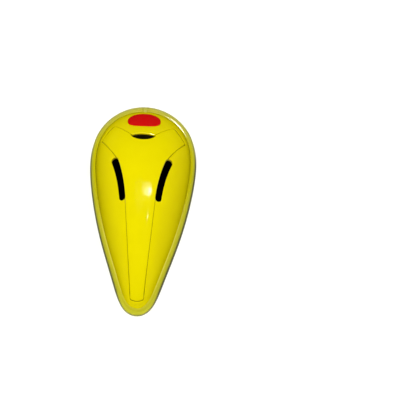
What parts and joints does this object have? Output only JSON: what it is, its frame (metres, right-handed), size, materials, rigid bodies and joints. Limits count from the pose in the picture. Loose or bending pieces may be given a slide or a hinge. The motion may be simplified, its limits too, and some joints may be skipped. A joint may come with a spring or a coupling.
{
  "type": "groin protector",
  "caption": "Hard teardrop-shaped groin cup with long side vents, a half-moon vent, a let-in front panel, a soft U-shaped rim seal and a plain oval badge; open at the back.",
  "frame": {"origin": "in the rim's resting plane, midway along the length and the width", "axes": "+Z out of the crown of the cup, +Y towards the wide top end, -Y the tip, +X across the width; the cup lies on its rim"},
  "size_m": [0.073, 0.15, 0.0487],
  "materials": {
    "shell_yellow": "glossy injection-moulded yellow",
    "panel_yellow": "glossy injection-moulded yellow, a shade lighter than the shell",
    "seal_soft": "soft translucent pale yellow, satin to glossy",
    "seal_glue": "cloudy greyish set adhesive",
    "badge_red": "glossy red, plain"
  },
  "bodies": {
    "root": {"cup_shell": "shell_yellow", "front_panel": "panel_yellow", "rim_seal": "seal_soft", "seal_joint": "seal_glue", "badge": "badge_red"}
  },
  "joints": []
}
